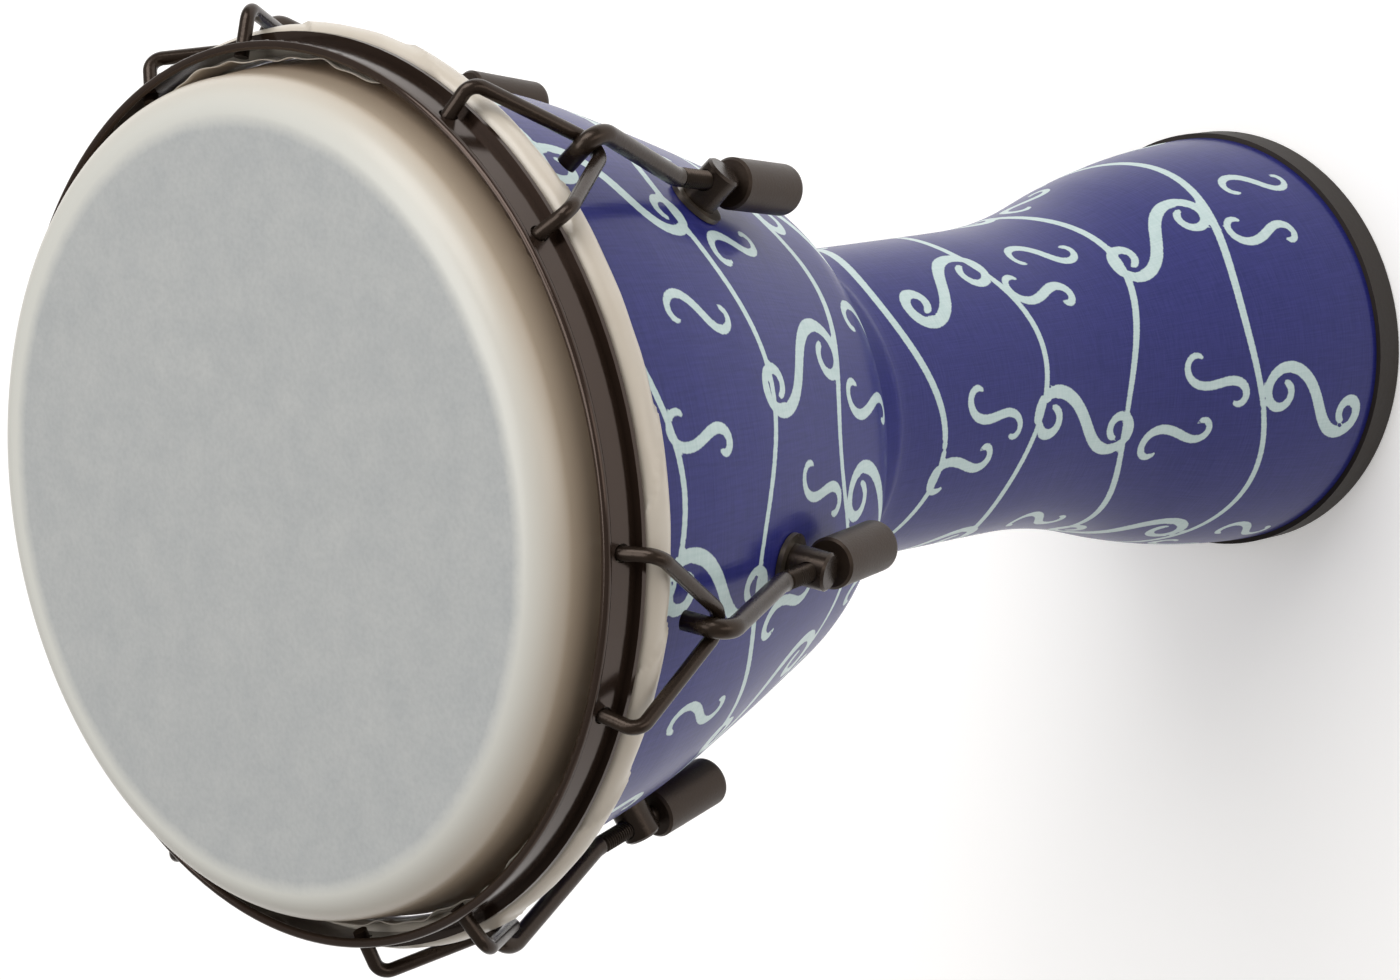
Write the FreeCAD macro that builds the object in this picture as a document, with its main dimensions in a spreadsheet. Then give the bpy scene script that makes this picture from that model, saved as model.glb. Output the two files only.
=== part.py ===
import FreeCAD, Part
import Sketcher
import math
import os

# Mechanically tuned djembe, standing on its foot: +Z up, Z = 0 on the floor, the shell's axis on Z.
# A moulded goblet shell wears a glued printed cloth and a rubber foot trim. A film head is folded round
# a steel flesh hoop, a pressed counterhoop sits on that hoop, and six lugs pull the counterhoop down:
# each has a post through the shell wall, a hooked M6 rod, a long barrel nut, and a wire claw whose two
# tips sit in holes under the counterhoop's bead.
# Sizes are millimetres. "drop" is a distance below the bearing edge or the rim, "rise" one above the floor.

doc = FreeCAD.newDocument("djembe")
dims = doc.addObject("Spreadsheet::Sheet", "dims")
SIZES = {
    "lugs": 6,
    # shell: each radius and height is a station of its outer outline
    "edge_height": 475.5,
    "mouth_radius": 126.0,
    "lug_seat_in": 15.4,
    "belly_radius": 87.2,
    "corner_radius": 71.0,
    "neck_radius": 53.1,
    "flare_radius": 62.3,
    "foot_radius": 75.6,
    "wall": 5.0,
    "straight_drop": 22.5,
    "lug_drop": 115.5,
    "belly_drop": 179.5,
    "corner_drop": 200.5,
    "neck_rise": 160.0,
    "flare_rise": 95.0,
    "land_rise": 14.0,
    "lip_width": 12.5,
    "lip_depth": 16.0,
    "edge_round": 11.0,
    # printed cloth and foot trim
    "cloth": 0.4,
    "cloth_drop": 20.0,
    "trim_wall": 1.8,
    "trim_floor": 2.5,
    "trim_outer_rise": 11.5,
    "trim_inner_rise": 8.0,
    "trim_gap": 0.05,
    # head: the film clears the shell by film_gap, and its collar leans out to the flesh hoop
    "film": 0.35,
    "film_gap": 0.3,
    "collar_top_drop": 11.5,
    "rim_drop": 14.5,
    "hoop_drop": 19.0,
    "hoop_ring_out": 9.0,
    "hoop_wire_radius": 4.2,
    "hoop_wrap": 1.4,
    "hoop_gap": 0.05,
    # counterhoop
    "band_out": 0.4,
    "band_wall": 1.6,
    "bead_radius": 1.45,
    "flange_width": 4.2,
    "flange": 1.4,
    "flange_gap": 0.05,
    "tip_hole_gap": 0.55,
    # claw wire
    "claw_wire": 2.2,
    "claw_spread": 10.2,
    "claw_corner_out": 11.2,
    "claw_corner_drop": 10.6,
    "claw_corner_bend": 4.5,
    "claw_tip_in": 3.4,
    "claw_tip_drop": 5.2,
    "claw_apex_out": 4.5,
    "claw_apex_drop": 42.0,
    "claw_apex_bend": 6.6,
    # rod
    "rod": 3.0,
    "rod_lean": 12.0,
    "rod_straight": 20.0,
    "rod_crank_bend": 12.0,
    "hook_gap": 0.35,
    "hook_turn": 98.0,
    "hook_tip": 8.0,
    "rod_in_nut": 22.0,
    # post with its washers and nut
    "post_radius": 6.0,
    "post_over": 4.7,
    "post_chamfer": 0.8,
    "cross_hole_gap": 0.3,
    "stud_radius": 3.95,
    "stud_hole_gap": 0.15,
    "stud_end": 3.0,
    "washer_radius": 9.0,
    "washer": 1.6,
    "washer_gap": 0.05,
    "inner_washer_radius": 9.0,
    "inner_washer": 1.5,
    "inner_washer_gap": 0.45,
    "hex_flat": 6.5,
    "hex_height": 6.0,
    # barrel nut
    "nut_radius": 8.0,
    "nut_length": 29.0,
    "nut_gap": 1.3,
    "nut_wall_gap": 1.7,
    "nut_bore_gap": 0.05,
    "nut_round": 2.5,
    "nut_chamfer": 0.8,
    "socket_flat": 4.0,
    "socket_depth": 3.5,
    "nut_web": 3.0,
}
for row, (alias, value) in enumerate(SIZES.items(), start=1):
    dims.set(f"A{row}", alias)
    dims.set(f"B{row}", str(value))
    dims.setAlias(f"B{row}", alias)
doc.recompute()


def size(alias):
    """A driving dimension, read back from the sheet."""
    return float(dims.get(alias))


def number(expression):
    """What an expression over the sheet's cells comes to, as a plain number."""
    found = dims.evalExpression(expression)
    return float(getattr(found, "Value", found))


# ---- frames --------------------------------------------------------------------------------------

EDGE = size("edge_height")
RIM = EDGE - size("rim_drop")
LUGS = int(size("lugs"))
LUG_STEP = 360.0 / LUGS
Z_AXIS = FreeCAD.Vector(0, 0, 1)
Y_AXIS = FreeCAD.Vector(0, 1, 0)


def turned(lug):
    """The placement that carries lug 1's hardware, made in the XZ plane, to another lug."""
    return FreeCAD.Placement(FreeCAD.Vector(), FreeCAD.Rotation(Z_AXIS, lug * LUG_STEP))


def meridian(radius, height, across=0.0):
    return FreeCAD.Vector(radius, across, height)


def leaning(point, lean):
    """A placement at point whose own Z leans outwards from +Z by lean degrees, in the XZ plane."""
    return FreeCAD.Placement(point, FreeCAD.Rotation(Y_AXIS, lean))


def away(point, lean, distance):
    """The point that lies a distance along a direction leaning outwards from +Z by lean degrees."""
    a = math.radians(lean)
    return point + FreeCAD.Vector(math.sin(a), 0, math.cos(a)) * distance


# The bowl's upper arc is upright where it starts, so its slope at the lug is twice its chord's.
BOWL_SLOPE = 2 * math.degrees(
    math.atan2(
        size("lug_seat_in"),
        size("lug_drop") - size("straight_drop"),
    )
)
POST_LEAN = 90.0 + BOWL_SLOPE
SEAT = meridian(size("mouth_radius") - size("lug_seat_in"), EDGE - size("lug_drop"))
ROD_REACH = size("nut_radius") + size("nut_wall_gap")
POST_HEIGHT = ROD_REACH + size("post_over")
ROD_CROSSING = away(SEAT, POST_LEAN, ROD_REACH)
HOOP_RING = size("mouth_radius") + size("hoop_ring_out")

# ---- sketches and bodies -------------------------------------------------------------------------


def new_body(label):
    body = doc.addObject("PartDesign::Body", label)
    body.Label = label
    return body


def plane(body, role):
    return next(f for f in body.Origin.OriginFeatures if f.Role == role)


def new_sketch(body, name, role="XZ_Plane"):
    sketch = body.newObject("Sketcher::SketchObject", name)
    sketch.AttachmentSupport = (plane(body, role), "")
    sketch.MapMode = "FlatFace"
    return sketch


def pin(sketch, edge, end, across, up):
    """Ties one end of an edge to two expressions, measured from the sketch's origin."""
    for kind, expression in (("DistanceX", across), ("DistanceY", up)):
        if expression is None:
            continue
        value = number(expression)
        if abs(value) < 1e-9:
            axis = -2 if kind == "DistanceX" else -1
            sketch.addConstraint(Sketcher.Constraint("PointOnObject", edge, end, axis))
            continue
        index = sketch.addConstraint(Sketcher.Constraint(kind, -1, 1, edge, end, value))
        sketch.setExpression(f"Constraints[{index}]", expression)


def polygon(sketch, corners):
    """A closed outline of straight edges, each corner given by two expressions."""
    at = [FreeCAD.Vector(number(x), number(y), 0) for x, y in corners]
    count = len(at)
    for i in range(count):
        sketch.addGeometry(Part.LineSegment(at[i], at[(i + 1) % count]), False)
    for i in range(count):
        sketch.addConstraint(Sketcher.Constraint("Coincident", i, 2, (i + 1) % count, 1))
    for i, (x, y) in enumerate(corners):
        pin(sketch, i, 1, x, y)


def circle(sketch, radius, across="0", up="0"):
    """A circle whose radius and centre are expressions."""
    centre = FreeCAD.Vector(number(across), number(up), 0)
    edge = sketch.addGeometry(Part.Circle(centre, FreeCAD.Vector(0, 0, 1), number(radius)), False)
    index = sketch.addConstraint(Sketcher.Constraint("Radius", edge, number(radius)))
    sketch.setExpression(f"Constraints[{index}]", radius)
    if number(across) == 0 and number(up) == 0:
        sketch.addConstraint(Sketcher.Constraint("Coincident", edge, 3, -1, 1))
    else:
        pin(sketch, edge, 3, across, up)
    return edge


def revolved(body, sketch, name="turned"):
    feature = body.newObject("PartDesign::Revolution", name)
    feature.Profile = sketch
    feature.ReferenceAxis = (sketch, ["V_Axis"])
    feature.Angle = 360.0
    body.Tip = feature
    doc.recompute()
    return feature


def padded(body, sketch, length, name="pad"):
    feature = body.newObject("PartDesign::Pad", name)
    feature.Profile = sketch
    feature.setExpression("Length", length)
    body.Tip = feature
    doc.recompute()
    return feature


def drilled(body, radius, length, placement, name="drilled"):
    """Cuts a cylinder of the body's own frame out of it; its placement starts the cylinder's axis."""
    feature = body.newObject("PartDesign::SubtractiveCylinder", name)
    feature.setExpression("Radius", radius)
    feature.Height = length
    feature.Placement = placement
    body.Tip = feature
    doc.recompute()
    return feature


def around(body, original, name="lug_pattern"):
    """Repeats a feature at every lug."""
    feature = body.newObject("PartDesign::PolarPattern", name)
    feature.Originals = [original]
    feature.Axis = (plane(body, "Z_Axis"), [""])
    feature.Angle = 360.0
    feature.setExpression("Occurrences", "dims.lugs")
    body.Tip = feature
    doc.recompute()
    return feature


def edges_where(shape, test):
    return [f"Edge{i}" for i, edge in enumerate(shape.Edges, start=1) if test(edge)]


def faces_where(shape, test):
    return [f"Face{i}" for i, face in enumerate(shape.Faces, start=1) if test(face)]


def flat_at(height):
    """A test for a level face at that height."""
    return lambda face: face.BoundBox.ZLength < 1e-6 and abs(face.BoundBox.ZMax - height) < 1e-6


def rounded(body, kind, sizes_from, edges, name):
    """A fillet or a chamfer on edges of the body's tip."""
    base = body.Tip
    feature = body.newObject(f"PartDesign::{kind}", name)
    feature.Base = (base, edges)
    feature.setExpression("Radius" if kind == "Fillet" else "Size", sizes_from)
    body.Tip = feature
    doc.recompute()
    return feature


# ---- the goblet outline --------------------------------------------------------------------------


def arc_on(start, end, direction):
    """The arc that leaves start in a direction (radians) and reaches end, and its direction there."""
    chord = math.atan2(end[1] - start[1], end[0] - start[0])
    half = chord - direction
    radius = math.dist(start, end) / 2 / math.sin(half)
    centre = FreeCAD.Vector(
        start[0] - radius * math.sin(direction), start[1] + radius * math.cos(direction), 0
    )
    from_centre = [math.atan2(p[1] - centre.y, p[0] - centre.x) for p in (start, end)]
    if half < 0:
        from_centre.reverse()
    circle_shape = Part.Circle(centre, FreeCAD.Vector(0, 0, 1), abs(radius))
    return Part.ArcOfCircle(circle_shape, *from_centre), chord + half


def goblet(body, top, name="goblet"):
    """Revolves the shell's outer outline, up to a height given as an expression, into a solid."""
    sketch = new_sketch(body, name + "_outline")
    edge = "dims.edge_height"
    floor = "dims.trim_floor"
    # from the mouth down to the foot: each station's radius and height
    stations = [
        ("dims.mouth_radius", top),
        ("dims.mouth_radius", f"{edge} - dims.straight_drop"),
        ("dims.mouth_radius - dims.lug_seat_in", f"{edge} - dims.lug_drop"),
        ("dims.belly_radius", f"{edge} - dims.belly_drop"),
        ("dims.corner_radius", f"{edge} - dims.corner_drop"),
        ("dims.neck_radius", None),
        ("dims.neck_radius", "dims.neck_rise"),
        ("dims.flare_radius", "dims.flare_rise"),
        ("dims.foot_radius", "dims.land_rise"),
        ("dims.foot_radius", floor),
        ("0", floor),
        ("0", top),
    ]
    at = [[number(r), None if z is None else number(z)] for r, z in stations]
    heading = -math.pi / 2
    _, at_lug = arc_on(at[1], at[2], heading)
    _, at_belly = arc_on(at[2], at[3], at_lug)
    _, at_corner = arc_on(at[3], at[4], at_belly)
    neck_chord = (at_corner - math.pi / 2) / 2
    at[5][1] = at[4][1] + (at[5][0] - at[4][0]) * math.tan(neck_chord)
    _, up_at_flare = arc_on(at[6], at[7], heading)
    starts = {1: heading, 2: at_lug, 3: at_belly, 4: at_corner, 6: heading, 7: up_at_flare}
    count = len(at)
    start_end = []
    for i in range(count):
        a, b = at[i], at[(i + 1) % count]
        if i in starts:
            sketch.addGeometry(arc_on(a, b, starts[i])[0], False)
        else:
            ends = [FreeCAD.Vector(*a, 0), FreeCAD.Vector(*b, 0)]
            sketch.addGeometry(Part.LineSegment(*ends), False)
        first = sketch.Geometry[i].StartPoint
        near = math.dist((first.x, first.y), a) < 1e-3
        start_end.append((1, 2) if near else (2, 1))
    constraints = []
    for i in range(count):
        j = (i + 1) % count
        constraints.append(Sketcher.Constraint("Coincident", i, start_end[i][1], j, start_end[j][0]))
        if i in starts:
            constraints.append(Sketcher.Constraint("Radius", i, sketch.Geometry[i].Radius))
    constraints.append(Sketcher.Constraint("DistanceY", -1, 1, 5, start_end[5][0], at[5][1]))
    sketch.addConstraint(constraints)
    for i, (r, z) in enumerate(stations):
        pin(sketch, i, start_end[i][0], r, z)
    doc.recompute()
    return revolved(body, sketch, name)


def skinned(body, solid, thickness, inward, faces, name):
    """Turns a solid into a wall of even thickness, open at the named faces."""
    feature = body.newObject("PartDesign::Thickness", name)
    feature.Base = (solid, faces)
    feature.setExpression("Value", thickness)
    feature.Reversed = inward
    feature.Mode = 0
    feature.Join = 0
    body.Tip = feature
    doc.recompute()
    return feature


nodes = {}


def keep(label, part):
    nodes[label] = part
    return part


# ---- shell: a moulded goblet with a thick rounded lip --------------------------------------------

shell = keep("shell", new_body("shell"))
whole = goblet(shell, "dims.edge_height")
ends = faces_where(whole.Shape, flat_at(EDGE)) + faces_where(whole.Shape, flat_at(size("trim_floor")))
skinned(shell, whole, "dims.wall", True, ends, "hollowed")
lip = new_sketch(shell, "lip_outline")
lip_inner = "dims.mouth_radius - dims.lip_width"
wall_middle = "dims.mouth_radius - dims.wall / 2"
polygon(
    lip,
    [
        (wall_middle, "dims.edge_height"),
        (lip_inner, "dims.edge_height"),
        (lip_inner, "dims.edge_height - dims.lip_depth + dims.lip_width - dims.wall"),
        ("dims.mouth_radius - dims.wall", "dims.edge_height - dims.lip_depth"),
        (wall_middle, "dims.edge_height - dims.lip_depth"),
    ],
)
revolved(shell, lip, "lip")
rounded(
    shell,
    "Fillet",
    "dims.edge_round",
    edges_where(
        shell.Tip.Shape,
        lambda e: abs(e.BoundBox.ZMin - EDGE) < 1e-6
        and abs(e.BoundBox.XMax - size("mouth_radius")) < 1e-3,
    ),
    "bearing_edge",
)
STUD_HOLE_DEPTH = 4 * size("wall")
stud_hole = drilled(
    shell,
    "dims.stud_radius + dims.stud_hole_gap",
    STUD_HOLE_DEPTH,
    leaning(away(SEAT, POST_LEAN, -STUD_HOLE_DEPTH / 2), POST_LEAN),
    "stud_hole",
)
around(shell, stud_hole)

# ---- cloth: the printed skin glued over the shell ------------------------------------------------

cloth = keep("printed_cloth", new_body("printed_cloth"))
core = goblet(cloth, "dims.edge_height - dims.cloth_drop", "core")
ends = faces_where(core.Shape, flat_at(EDGE - size("cloth_drop")))
ends += faces_where(core.Shape, flat_at(size("trim_floor")))
skinned(cloth, core, "dims.cloth", False, ends, "skin")
cloth_hole = drilled(
    cloth,
    "dims.stud_radius + dims.stud_hole_gap",
    STUD_HOLE_DEPTH,
    leaning(away(SEAT, POST_LEAN, -STUD_HOLE_DEPTH / 2), POST_LEAN),
    "stud_hole",
)
around(cloth, cloth_hole)

# ---- foot trim: a rubber channel pushed over the foot --------------------------------------------

foot_trim = keep("foot_trim", new_body("foot_trim"))
channel = new_sketch(foot_trim, "channel_outline")
slot_outer = "dims.foot_radius + dims.cloth + dims.trim_gap"
slot_inner = "dims.foot_radius - dims.wall - dims.trim_gap"
polygon(
    channel,
    [
        (f"{slot_inner} - dims.trim_wall", "0"),
        (f"{slot_outer} + dims.trim_wall", "0"),
        (f"{slot_outer} + dims.trim_wall", "dims.trim_outer_rise"),
        (slot_outer, "dims.trim_outer_rise"),
        (slot_outer, "dims.trim_floor"),
        (slot_inner, "dims.trim_floor"),
        (slot_inner, "dims.trim_inner_rise"),
        (f"{slot_inner} - dims.trim_wall", "dims.trim_inner_rise"),
    ],
)
revolved(foot_trim, channel)

# ---- head: film over the bearing edge, folded round the flesh hoop -------------------------------

drumhead = keep("drumhead", new_body("drumhead"))
form = new_sketch(drumhead, "form_outline")
form_radius = "dims.mouth_radius + dims.film_gap"
form_top = "dims.edge_height + dims.film_gap"
hoop_height = "dims.edge_height - dims.rim_drop - dims.hoop_drop"
fold_radius = "(dims.hoop_wire_radius + dims.hoop_wrap)"
hoop_ring = "(dims.mouth_radius + dims.hoop_ring_out)"
polygon(
    form,
    [
        ("0", hoop_height),
        (f"{hoop_ring} - {fold_radius}", hoop_height),
        (form_radius, "dims.edge_height - dims.collar_top_drop"),
        (form_radius, form_top),
        ("0", form_top),
    ],
)
revolved(drumhead, form, "form")
rounded(
    drumhead,
    "Fillet",
    "dims.edge_round + dims.film_gap",
    edges_where(
        drumhead.Tip.Shape,
        lambda e: e.BoundBox.ZLength < 1e-6 and abs(e.BoundBox.ZMax - number(form_top)) < 1e-6,
    ),
    "shoulder",
)
under = faces_where(drumhead.Tip.Shape, flat_at(number(hoop_height)))
skinned(drumhead, drumhead.Tip, "dims.film", False, under, "film")


def ring(body, kind, tube, ring_radius, height, name):
    """Adds a torus about the shell's axis to a body, or cuts one out of it."""
    feature = body.newObject(f"PartDesign::{kind}Torus", name)
    feature.setExpression("Radius1", ring_radius)
    feature.setExpression("Radius2", tube)
    feature.setExpression(".AttachmentOffset.Base.z", height)
    feature.AttachmentSupport = (plane(body, "XY_Plane"), "")
    feature.MapMode = "FlatFace"
    body.Tip = feature
    doc.recompute()
    return feature


ring(drumhead, "Additive", fold_radius, hoop_ring, hoop_height, "fold")
ring(
    drumhead,
    "Subtractive",
    "dims.hoop_wire_radius + dims.hoop_gap",
    hoop_ring,
    hoop_height,
    "fold_inside",
)

flesh_hoop = keep("flesh_hoop", new_body("flesh_hoop"))
ring(flesh_hoop, "Additive", "dims.hoop_wire_radius", hoop_ring, hoop_height, "hoop")

# ---- counterhoop: a beaded band on a flange, with two holes per lug ------------------------------

counter_hoop = keep("counter_hoop", new_body("counter_hoop"))
section = new_sketch(counter_hoop, "band_outline")
band_outer = f"({hoop_ring} + dims.band_out)"
band_inner = f"{band_outer} - dims.band_wall"
band_top = "dims.edge_height - dims.rim_drop - dims.bead_radius"
band_bottom = f"{hoop_height} + {fold_radius} + dims.flange_gap"
polygon(
    section,
    [
        (band_inner, band_bottom),
        (f"{band_inner} + dims.flange_width", band_bottom),
        (f"{band_inner} + dims.flange_width", f"{band_bottom} + dims.flange"),
        (band_outer, f"{band_bottom} + dims.flange"),
        (band_outer, band_top),
        (band_inner, band_top),
    ],
)
revolved(counter_hoop, section, "band")
ring(counter_hoop, "Additive", "dims.bead_radius", f"{band_outer} - dims.band_wall / 2", band_top, "bead")


def spread(point, side):
    """Turns a point of the XZ plane about the axis to one leg of the claw; side is 1 or -1."""
    return FreeCAD.Rotation(Z_AXIS, side * size("claw_spread")).multVec(point)


CLAW_TIP = meridian(HOOP_RING - size("claw_tip_in"), RIM - size("claw_tip_drop"))
CLAW_CORNER = meridian(HOOP_RING + size("claw_corner_out"), RIM - size("claw_corner_drop"))
CLAW_APEX = meridian(HOOP_RING + size("claw_apex_out"), RIM - size("claw_apex_drop"))
TIP_LEAN = math.degrees(math.atan2(CLAW_CORNER.x - CLAW_TIP.x, CLAW_CORNER.z - CLAW_TIP.z))
for side in (1, -1):
    turn = FreeCAD.Placement(FreeCAD.Vector(), FreeCAD.Rotation(Z_AXIS, side * size("claw_spread")))
    tip_hole = drilled(
        counter_hoop,
        "dims.claw_wire + dims.tip_hole_gap",
        (CLAW_CORNER - CLAW_TIP).Length,
        turn * leaning(CLAW_TIP, TIP_LEAN),
        "left_tip_hole" if side > 0 else "right_tip_hole",
    )
    around(counter_hoop, tip_hole, "left_holes" if side > 0 else "right_holes")

# ---- bent wires ----------------------------------------------------------------------------------


def bent_wire(points, bends, radius):
    """A round wire along straight runs; bends holds the centre-line radius at each inner point."""
    edges = []
    start = points[0]
    for before, corner, after, bend in zip(points, points[1:], points[2:], bends):
        back = (before - corner).normalize()
        ahead = (after - corner).normalize()
        half = back.getAngle(ahead) / 2
        reach = bend / math.tan(half)
        inwards = (back + ahead).normalize()
        middle = corner + inwards * (bend / math.sin(half) - bend)
        edges.append(Part.LineSegment(start, corner + back * reach).toShape())
        edges.append(Part.Arc(corner + back * reach, middle, corner + ahead * reach).toShape())
        start = corner + ahead * reach
    edges.append(Part.LineSegment(start, points[-1]).toShape())
    path = Part.Wire(edges)
    end = Part.Wire([Part.makeCircle(radius, points[0], points[1] - points[0])])
    return path.makePipeShell([end], True, True)


def placed(label, shape, placement):
    """A plain feature of the document that holds a shape."""
    feature = doc.addObject("Part::Feature", label)
    feature.Label = label
    feature.Shape = shape
    feature.Placement = placement
    return keep(label, feature)


# ---- claws: each wire runs hole to hole under the rod's hook -------------------------------------

# The legs are tangent to the bend at the foot of the V, whose lowest point is the apex.
corner_middle = FreeCAD.Vector(spread(CLAW_CORNER, 1).x, 0, CLAW_CORNER.z)
claw_up = (corner_middle - CLAW_APEX).normalize()
claw_rise = (corner_middle - CLAW_APEX).Length - size("claw_apex_bend")
claw_half = spread(CLAW_CORNER, 1).y
leg_lean = math.atan2(claw_half, claw_rise) - math.asin(
    size("claw_apex_bend") / math.hypot(claw_half, claw_rise)
)
vee = CLAW_APEX - claw_up * (size("claw_apex_bend") * (1 / math.sin(leg_lean) - 1))
claw_points = [
    spread(CLAW_TIP, -1),
    spread(CLAW_CORNER, -1),
    vee,
    spread(CLAW_CORNER, 1),
    spread(CLAW_TIP, 1),
]
claw_bends = [size("claw_corner_bend"), size("claw_apex_bend"), size("claw_corner_bend")]
for lug in range(LUGS):
    placed(f"claw_{lug + 1}", bent_wire(claw_points, claw_bends, size("claw_wire")), turned(lug))

# ---- rods: straight through the post, cranked outwards, then hooked over the claw ----------------

ROD_LEAN = size("rod_lean")
crank = away(ROD_CROSSING, ROD_LEAN, size("rod_straight"))
hook_bend = size("rod") + size("hook_gap") + size("claw_wire")
to_apex = CLAW_APEX - crank
crank_lean = math.degrees(
    math.atan2(to_apex.x, to_apex.z) + math.asin(hook_bend / to_apex.Length)
)
hook_lean = crank_lean - size("hook_turn")
hook_start = away(CLAW_APEX, crank_lean + 90, hook_bend)
hook_end = away(CLAW_APEX, hook_lean + 90, hook_bend)
hook_reach = hook_bend * math.tan(math.radians(size("hook_turn") / 2))
rod_points = [
    away(ROD_CROSSING, ROD_LEAN, -size("rod_in_nut")),
    crank,
    away(hook_start, crank_lean, hook_reach),
    away(hook_end, hook_lean, size("hook_tip")),
]
rod_bends = [size("rod_crank_bend"), hook_bend]
for lug in range(LUGS):
    placed(f"tuning_rod_{lug + 1}", bent_wire(rod_points, rod_bends, size("rod")), turned(lug))

# ---- posts: a cross-drilled head on a stud through the wall --------------------------------------

post_frame = leaning(SEAT, POST_LEAN)
post_foot = "dims.cloth + dims.washer + 2 * dims.washer_gap"
stud_depth = (
    "dims.wall + dims.inner_washer_gap + dims.inner_washer + dims.washer_gap"
    " + dims.hex_height + dims.stud_end"
)
for lug in range(LUGS):
    post = keep(f"lug_post_{lug + 1}", new_body(f"lug_post_{lug + 1}"))
    head_sketch = new_sketch(post, "head_outline", "XY_Plane")
    head_sketch.setExpression(".AttachmentOffset.Base.z", post_foot)
    circle(head_sketch, "dims.post_radius")
    padded(post, head_sketch, f"dims.nut_radius + dims.nut_wall_gap + dims.post_over - ({post_foot})", "head")
    head_top = edges_where(post.Tip.Shape, lambda e: e.BoundBox.ZMin > POST_HEIGHT - 1e-6)
    rounded(post, "Chamfer", "dims.post_chamfer", head_top, "end_chamfer")
    stud_sketch = new_sketch(post, "stud_outline", "XY_Plane")
    stud_sketch.setExpression(".AttachmentOffset.Base.z", f"-({stud_depth})")
    circle(stud_sketch, "dims.stud_radius")
    padded(post, stud_sketch, f"{stud_depth} + {post_foot}", "stud")
    cross_from = away(FreeCAD.Vector(0, 0, ROD_REACH), ROD_LEAN - POST_LEAN, -POST_HEIGHT)
    drilled(
        post,
        "dims.rod + dims.cross_hole_gap",
        2 * POST_HEIGHT,
        leaning(cross_from, ROD_LEAN - POST_LEAN),
        "cross_hole",
    )
    post.Placement = turned(lug) * post_frame

# ---- washers and hexagon nuts --------------------------------------------------------------------


def primitive(kind, name, placement, **expressions):
    """A Part primitive whose sizes are expressions."""
    feature = doc.addObject(f"Part::{kind}", name)
    for key, expression in expressions.items():
        feature.setExpression(key, expression)
    feature.Placement = placement
    return feature


def holed(name, blank, height, placement):
    """Cuts the stud's hole through a primitive."""
    bore = primitive("Cylinder", name + "_bore", placement, Radius=STUD_CLEAR, Height=height)
    cut = doc.addObject("Part::Cut", name)
    cut.Base = blank
    cut.Tool = bore
    return cut


def group(label, members):
    """Identical fasteners, as one compound of separate solids."""
    compound = doc.addObject("Part::Compound", label)
    compound.Label = label
    compound.Links = members
    return keep(label, compound)


STUD_CLEAR = "dims.stud_radius + dims.stud_hole_gap"
outer_seat = number("dims.cloth + dims.washer_gap")
inner_seat = -number("dims.wall + dims.inner_washer_gap + dims.inner_washer")
hex_seat = inner_seat - number("dims.washer_gap + dims.hex_height")
outer_washers, inner_washers, inner_nuts = [], [], []
for lug in range(LUGS):
    at = turned(lug) * leaning(away(SEAT, POST_LEAN, outer_seat), POST_LEAN)
    blank = primitive("Cylinder", "disc", at, Radius="dims.washer_radius", Height="dims.washer")
    outer_washers.append(holed("outer_washer", blank, "dims.washer", at))
    at = turned(lug) * leaning(away(SEAT, POST_LEAN, inner_seat), POST_LEAN)
    blank = primitive("Cylinder", "disc", at, Radius="dims.inner_washer_radius", Height="dims.inner_washer")
    inner_washers.append(holed("inner_washer", blank, "dims.inner_washer", at))
    at = turned(lug) * leaning(away(SEAT, POST_LEAN, hex_seat), POST_LEAN)
    blank = primitive(
        "Prism", "hexagon", at, Circumradius="dims.hex_flat / cos(30 deg)", Height="dims.hex_height"
    )
    blank.Polygon = 6
    inner_nuts.append(holed("inner_nut", blank, "dims.hex_height", at))
group("outer_washers", outer_washers)
group("inner_washers", inner_washers)
group("inner_nuts", inner_nuts)

# ---- barrel nuts: a blind threaded bore, and a hexagon socket in the free end --------------------

nut_frame = leaning(away(ROD_CROSSING, ROD_LEAN, -size("post_radius") - size("nut_gap")), ROD_LEAN + 180)
for lug in range(LUGS):
    nut = keep(f"tuning_nut_{lug + 1}", new_body(f"tuning_nut_{lug + 1}"))
    barrel_sketch = new_sketch(nut, "barrel_outline", "XY_Plane")
    circle(barrel_sketch, "dims.nut_radius")
    padded(nut, barrel_sketch, "dims.nut_length", "barrel")
    front = edges_where(nut.Tip.Shape, lambda e: e.BoundBox.ZMax < 1e-6)
    rounded(nut, "Chamfer", "dims.nut_chamfer", front, "front_chamfer")
    back = edges_where(nut.Tip.Shape, lambda e: e.BoundBox.ZMin > size("nut_length") - 1e-6)
    rounded(nut, "Fillet", "dims.nut_round", back, "end_round")
    drilled(
        nut,
        "dims.rod + dims.nut_bore_gap",
        number("dims.nut_length - dims.socket_depth - dims.nut_web"),
        FreeCAD.Placement(),
        "bore",
    )
    socket = nut.newObject("PartDesign::SubtractivePrism", "socket")
    socket.Polygon = 6
    socket.setExpression("Circumradius", "dims.socket_flat / cos(30 deg)")
    socket.setExpression("Height", "dims.socket_depth")
    socket.Placement = leaning(FreeCAD.Vector(0, 0, number("dims.nut_length - dims.socket_depth")), 0)
    nut.Tip = socket
    nut.Placement = turned(lug) * nut_frame

# ---- check and write -----------------------------------------------------------------------------

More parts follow.
